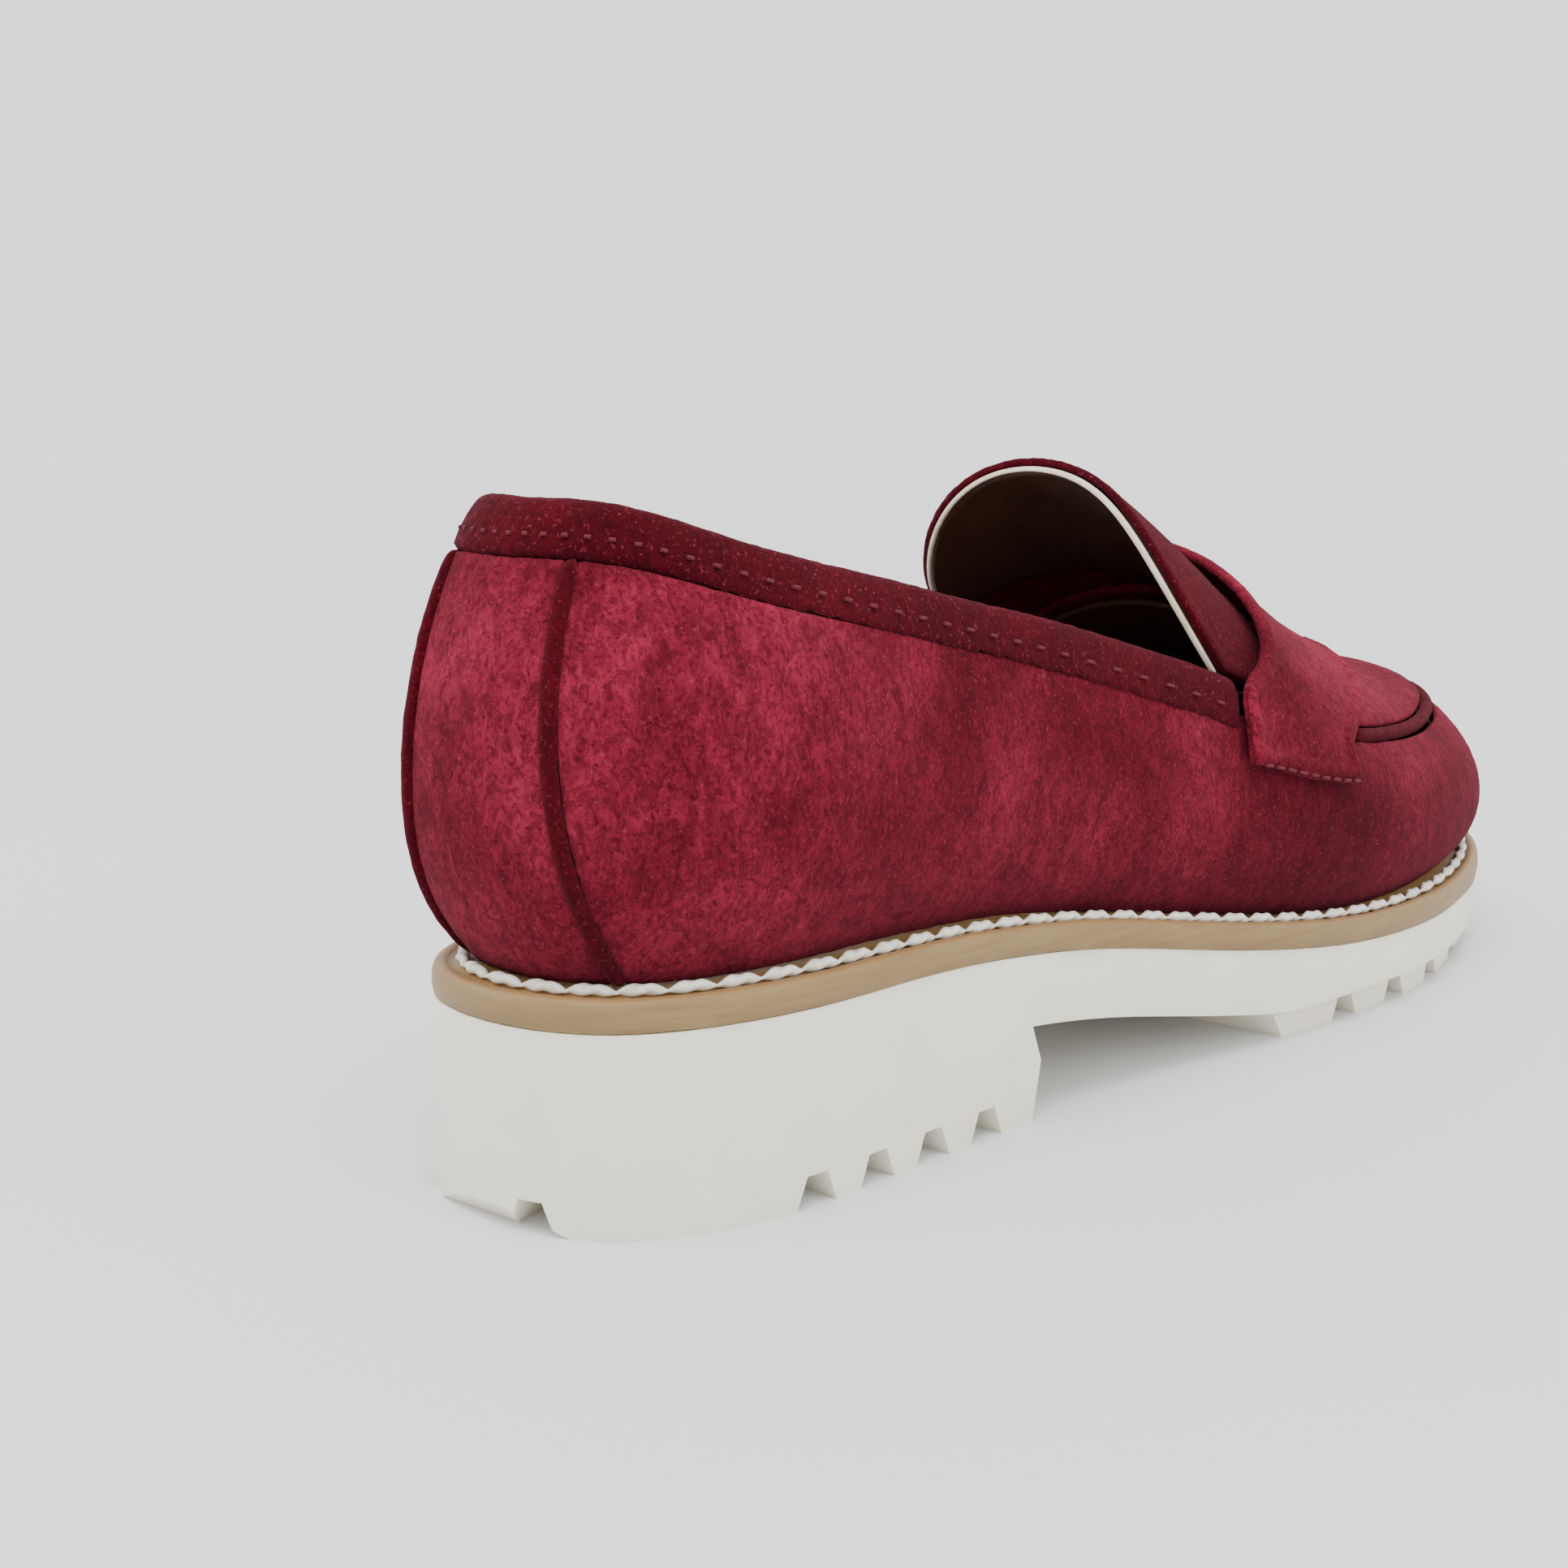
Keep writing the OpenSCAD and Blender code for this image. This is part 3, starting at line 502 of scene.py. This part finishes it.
def draw_to(piece, points, reach, pull):
    """Draws the part of a piece within reach of a line of points towards that line."""
    look = nearest(points)
    for vertex in piece.data.vertices:
        at, _, away = look(vertex.co)
        if 0 < away < reach:
            step = min(away, pull * (1 - away / reach))
            vertex.co += (at - vertex.co).normalized() * step


def bead(piece, points, width, height):
    """Raises two soft ridges, one each side of a line of points, within width of it."""
    look = nearest(points)

    def rise(at):
        away = look(at)[2]
        return height * sin(pi * away / width) if away < width else 0

    press_out(piece, rise, outer_only=True)


def crease(piece, points, width, depth):
    """Presses a narrow valley into a piece along a line of points."""
    look = nearest(points)

    def sink(at):
        away = look(at)[2]
        return -depth * (1 + cos(pi * away / width)) / 2 if away < width else 0

    press_out(piece, sink, outer_only=True)


def suede(name, base, deep, brushed, patch=22, flecks=0.42):
    """Napped suede: broad brushed patches, short strokes of the nap, fine pale flecks, and
    painted shade that darkens it low down.
    """
    finish = Finish(name, 0.95, 0.05)
    finish.shader.inputs["Sheen Weight"].default_value = 0.06
    finish.shader.inputs["Sheen Roughness"].default_value = 0.55
    finish.shader.inputs["Sheen Tint"].default_value = (0.8, 0.25, 0.34, 1)
    patches = finish.band(finish.grain(patch, 2, 0.5, 0.3), 0.32, 0.66)
    strokes = finish.grain(170, 4, 0.65, 1.2, finish.stretched((1, 1, 0.55)))
    tone = finish.blend_colour(patches, base, brushed)
    tone = finish.blend_colour(finish.band(strokes, 0.34, 0.62, 0.46, 0), tone, deep)
    # Painted shade: the suede is darkened low down towards the welt, fading out higher up.
    tone = finish.blend_colour(finish.band(finish.height(), LEDGE_Z, SHADE_FADES_Z, 0.5, 0), tone,
                               deep)
    short = finish.grain(620, 3, 0.7, 1.5, finish.stretched((1, 1, 0.6)))
    tone = finish.blend_colour(finish.band(short, 0.40, 0.58, 0.5, 0), tone, deep)
    specks = finish.grain(1500, 2, 0.7)
    tone = finish.blend_colour(finish.band(specks, 0.60, 0.74, 0, flecks), tone, NAP_PALE)
    tone = finish.blend_colour(finish.band(specks, 0.42, 0.28, 0, 0.75), tone, deep)
    finish.colour(tone)
    first = finish.bump(finish.grain(300, 4, 0.7, 0.8), 0.0006, 0.55)
    finish.bump(finish.grain(1700, 3, 0.7), 0.00035, 0.7, first)
    return finish


body_suede = suede("suede_body", BURGUNDY, BURGUNDY_DEEP, BURGUNDY_BRUSHED)
seam_copy = take("apron_seam_cord", "apron_seam_copy")
seam_line = sharp_edge_points(seam_copy, 10)
bpy.data.objects.remove(seam_copy)
vamp = take("vamp_and_quarters", "vamp_and_quarters_suede")
soften(vamp, 3)
draw_to(vamp, seam_line, WALL_REACH, WALL_PULL)
nap_relief(vamp)
settle(vamp, body_suede.material, "shoe", "suede", "vamp_and_quarters")


# ---- Heel counter and its piping ----
# A suede panel over the back of the heel. A narrow folded strip is stitched over each seam
# between it and a quarter.
PIPING_SWELL = 0.00045
back = take("heel_counter", "heel_counter_suede")
soften(back, 2)
nap_relief(back)
settle(back, body_suede.material, "shoe", "suede", "heel_counter")

trim_suede = suede("suede_trim", shade(BURGUNDY, 0.72), BURGUNDY_DEEP, BURGUNDY, 60, 0.35)
piping = take("counter_piping", "counter_seam_piping")
soften(piping, 2, 0, 80)
press_out(piping, lambda at: PIPING_SWELL)
nap_relief(piping, 0.0001, 0.00014)
settle(piping, trim_suede.material, "shoe", "suede", "counter_piping")


# ---- Collar ----
# A strip of suede folded over foam round the opening. A row of small stitches close to its
# lower edge draws it in.
BAND_OVERLAP = 0.0014
OVERLAP_RUN = 0.0014
BAND_SWELL = 0.0005
SWELL_RUN = 0.0022
band_suede = suede("suede_collar", shade(BURGUNDY, 0.62), BURGUNDY_DEEP, shade(BURGUNDY, 0.9),
                   45, 0.5)
collar = take("collar_binding", "collar_band")
soften(collar, 2, 0.4)
seam_at = nearest([vertex.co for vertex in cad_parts["collar_stitches"].data.vertices])
for vertex in collar.data.vertices:
    seam = seam_at(vertex.co)[0]
    below = seam.z - vertex.co.z
    if below > 0:
        vertex.co.z -= BAND_OVERLAP * min(1, below / OVERLAP_RUN)


def band_swell(at):
    """Full between its edges, and drawn in at the row of stitches."""
    away = seam_at(at)[2]
    return BAND_SWELL * min(1, away / SWELL_RUN) ** 0.7


press_out(collar, band_swell, outer_only=True)
nap_relief(collar, 0.0004, 0.00014)
settle(collar, band_suede.material, "shoe", "suede", "collar_binding")


# ---- Apron and its ridge seam ----
# The plug over the toes, sewn edge to edge to the side walls so that the seam stands up as a
# ridge.
PLUG_REACH = 0.005
PLUG_PULL = 0.0022
RIDGE_SWELL = 0.00035
apron = take("apron", "apron_suede")
soften(apron, 2)
draw_to(apron, seam_line, PLUG_REACH, PLUG_PULL)
nap_relief(apron)
settle(apron, body_suede.material, "shoe", "suede", "apron")

ridge = take("apron_seam_cord", "apron_ridge")
soften(ridge, 2, 0, 80)
press_out(ridge, lambda at: RIDGE_SWELL)
nap_relief(ridge, 0.0001, 0.00014)
settle(ridge, trim_suede.material, "shoe", "suede", "apron_seam_cord")


# ---- Saddle strap ----
# A suede strap over the instep whose two ends run down the side walls as tabs. Its rear edge
# is folded under, and each tab's lower edge is folded and stitched down.
RIM_W = 0.0032
RIM_H = 0.0006
FOLD_W = 0.0045
FOLD_D = 0.0009
FOLD_STEPS = 60
strap = take("saddle_strap", "saddle_strap_suede")
strap_rim = sharp_edge_points(strap)
soften(strap, 3)
bead(strap, strap_rim, RIM_W, RIM_H)
fold = []
for side in (-1, 1):
    seam_end = max((v.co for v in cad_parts["collar_stitches"].data.vertices
                    if v.co.x * side > 0), key=lambda at: at.y)
    ridge_end = min((v.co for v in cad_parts["apron_seam_cord"].data.vertices
                     if v.co.x * side > 0), key=lambda at: at.y)
    fold += [seam_end.lerp(ridge_end, k / FOLD_STEPS)
             for k in range(-4, FOLD_STEPS + 2)]
crease(strap, fold, FOLD_W, FOLD_D)
nap_relief(strap)
settle(strap, body_suede.material, "shoe", "suede", "saddle_strap")


# ---- Tongue ----
# A flap of suede lined with smooth leather. The lining's pale cut edge shows along its free
# end.
TONGUE = "tongue_flap"
SIDE_EASE = 0.978
FLAP_RIM_W = 0.0026
FLAP_RIM_H = 0.0002
LINING_BROWN = (0.075, 0.030, 0.016, 1)
LINING_DARK = (0.042, 0.016, 0.009, 1)
PALE_EDGE = (0.72, 0.62, 0.47, 1)


def ease_sides(piece):
    """Draws a layer of the flap in at its two sides, clear of the collar as the flap bends."""
    for vertex in piece.data.vertices:
        vertex.co.x *= SIDE_EASE


flap = take("tongue", "tongue_suede")
flap_rim = sharp_edge_points(flap)
soften(flap, 2)
bead(flap, flap_rim, FLAP_RIM_W, FLAP_RIM_H)
nap_relief(flap)
ease_sides(flap)
settle(flap, band_suede.material, TONGUE, "suede", "tongue")

lining = Finish("brown_lining_leather", 0.48, 0.4)
lining.colour(lining.blend_colour(lining.band(lining.grain(60, 4, 0.6), 0.35, 0.7),
                                  LINING_BROWN, LINING_DARK))
lining.bump(lining.grain(900, 3, 0.6), 0.00025, 0.5)
flap_lining = take("tongue_lining", "tongue_lining_leather")
soften(flap_lining, 2)
ease_sides(flap_lining)
settle(flap_lining, lining.material, TONGUE, "lining", "tongue_lining")

pale = Finish("pale_cut_edge", 0.8, 0.2)
pale.colour(pale.blend_colour(pale.band(pale.grain(500, 3), 0.4, 0.7), PALE_EDGE,
                              shade(PALE_EDGE, 0.8)))
pale.bump(pale.grain(1800, 2), 0.0002, 0.6)
flap_edge = take("tongue_edge", "tongue_cut_edge")
soften(flap_edge, 2, 0.3, 60)
ease_sides(flap_edge)
settle(flap_edge, pale.material, TONGUE, "lining_edge", "tongue_edge")


# ---- Linings and the layers under the foot ----
# Smooth brown leather lines the upper and covers the insole. The board, filler, steel shank,
# cushion and stiffeners lie between the skins, out of sight.
for node, name in (("vamp_lining", "vamp_lining_leather"),
                   ("quarter_lining", "quarter_lining_leather")):
    layer = take(node, name)
    soften(layer, 2)
    settle(layer, lining.material, "shoe", "lining", node)
sock = take("sock_lining", "sock_lining_leather")
bpy.ops.object.shade_smooth_by_angle(angle=radians(30))
settle(sock, lining.material, "shoe", "lining", "sock_lining")


def plain_layer(name, tone, scale, roughness, *nodes):
    """A finish for layers between the skins: one tone with a fine mottle and a slight relief."""
    finish = Finish(name, roughness, 0.3)
    finish.colour(finish.blend_colour(finish.band(finish.grain(scale, 4), 0.35, 0.7), tone,
                                      shade(tone, 0.78)))
    finish.bump(finish.grain(3 * scale, 3), 0.0002, 0.5)
    for node in nodes:
        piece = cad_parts[node]
        piece.data.materials.clear()
        piece.data.materials.append(finish.material)
    return finish


plain_layer("insole_board_fibre", (0.36, 0.24, 0.13, 1), 400, 0.9, "insole_board",
            "bottom_filler")
plain_layer("foam_with_cloth", (0.62, 0.57, 0.42, 1), 700, 0.95, "heel_cushion",
            "collar_padding")
plain_layer("stiffener_sheet", (0.45, 0.40, 0.25, 1), 500, 0.75, "counter_stiffener", "toe_puff")
plain_layer("suede_thread", (0.10, 0.0075, 0.017, 1), 1200, 0.8, "collar_stitches",
            "strap_tab_stitches")
plain_layer("lining_back", LINING_BROWN, 300, 0.7, "apron_lining")
spring_steel = plain_layer("spring_steel", (0.52, 0.52, 0.53, 1), 250, 0.35, "shank")
spring_steel.shader.inputs["Metallic"].default_value = 1
